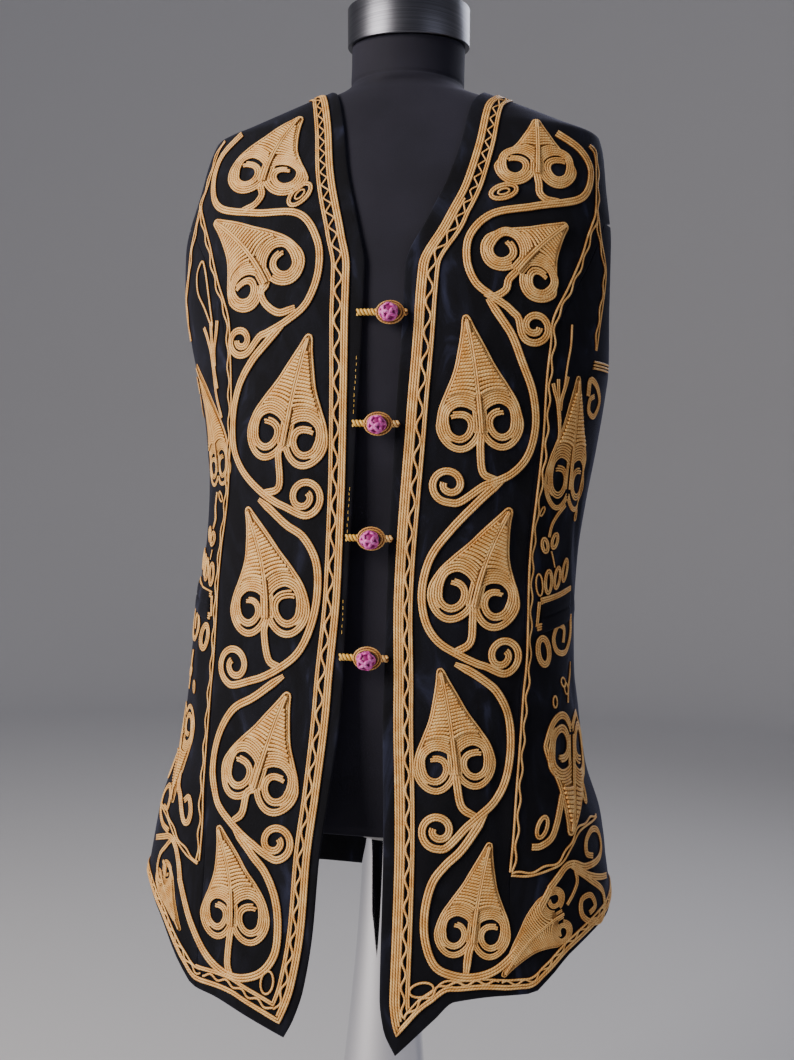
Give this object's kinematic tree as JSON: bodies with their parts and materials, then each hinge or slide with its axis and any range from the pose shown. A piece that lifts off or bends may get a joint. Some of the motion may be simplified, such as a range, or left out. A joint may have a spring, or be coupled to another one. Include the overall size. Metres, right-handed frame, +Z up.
{
  "type": "embroidered velvet vest on a limbless dress form with a stand",
  "caption": "Long sleeveless velvet vest with raised gold cord scrolls and leaves, open down the front, on a limbless dress form with a flared stand.",
  "frame": {"origin": "middle of the stand's underside, on the floor", "axes": "+Z up; -Y is the way the vest's open front faces; +X is the wearer's left"},
  "size_m": [0.4342, 0.316, 1.3235],
  "materials": {
    "velvet": "near-black cotton velvet, short pile",
    "gold_cord": "couched twisted cord, warm pale gold, satin",
    "button_cord": "knotted magenta cord, satin",
    "loop_cord": "twisted yellow-gold cord, satin",
    "form_jersey": "dark knitted jersey cover, matte",
    "cap_metal": "satin",
    "flange_enamel": "pale satin paint",
    "stand_chrome": "polished"
  },
  "bodies": {
    "root": {"back": "velvet", "braid_narrow_left": "gold_cord", "braid_narrow_right": "gold_cord", "braid_wide_left": "gold_cord", "braid_wide_right": "gold_cord", "button_1": "button_cord", "button_2": "button_cord", "button_3": "button_cord", "button_4": "button_cord", "flange": "flange_enamel", "form_torso": "form_jersey", "front_left": "velvet", "front_right": "velvet", "gore_frame_left": "gold_cord", "gore_frame_right": "gold_cord", "gore_leaf_left_hem": "gold_cord", "gore_leaf_left_lower": "gold_cord", "gore_leaf_left_upper": "gold_cord", "gore_leaf_right_hem": "gold_cord", "gore_leaf_right_lower": "gold_cord", "gore_leaf_right_upper": "gold_cord", "gore_left": "velvet", "gore_right": "velvet", "hem_braid_back": "gold_cord", "hem_braid_left": "gold_cord", "hem_braid_right": "gold_cord", "leaf_left_1": "gold_cord", "leaf_left_2": "gold_cord", "leaf_left_3": "gold_cord", "leaf_left_4": "gold_cord", "leaf_left_5": "gold_cord", "leaf_left_6": "gold_cord", "leaf_right_1": "gold_cord", "leaf_right_2": "gold_cord", "leaf_right_3": "gold_cord", "leaf_right_4": "gold_cord", "leaf_right_5": "gold_cord", "leaf_right_6": "gold_cord", "loop_1": "loop_cord", "loop_2": "loop_cord", "loop_3": "loop_cord", "loop_4": "loop_cord", "neck_braid_back": "gold_cord", "neck_cap": "cap_metal", "pocket_left": "velvet", "pocket_right": "velvet", "stand": "stand_chrome", "vine_left_1": "gold_cord", "vine_left_3": "gold_cord", "vine_left_4": "gold_cord", "vine_left_5": "gold_cord", "vine_left_6": "gold_cord", "vine_right_1": "gold_cord", "vine_right_3": "gold_cord", "vine_right_4": "gold_cord", "vine_right_5": "gold_cord", "vine_right_6": "gold_cord"}
  },
  "joints": []
}
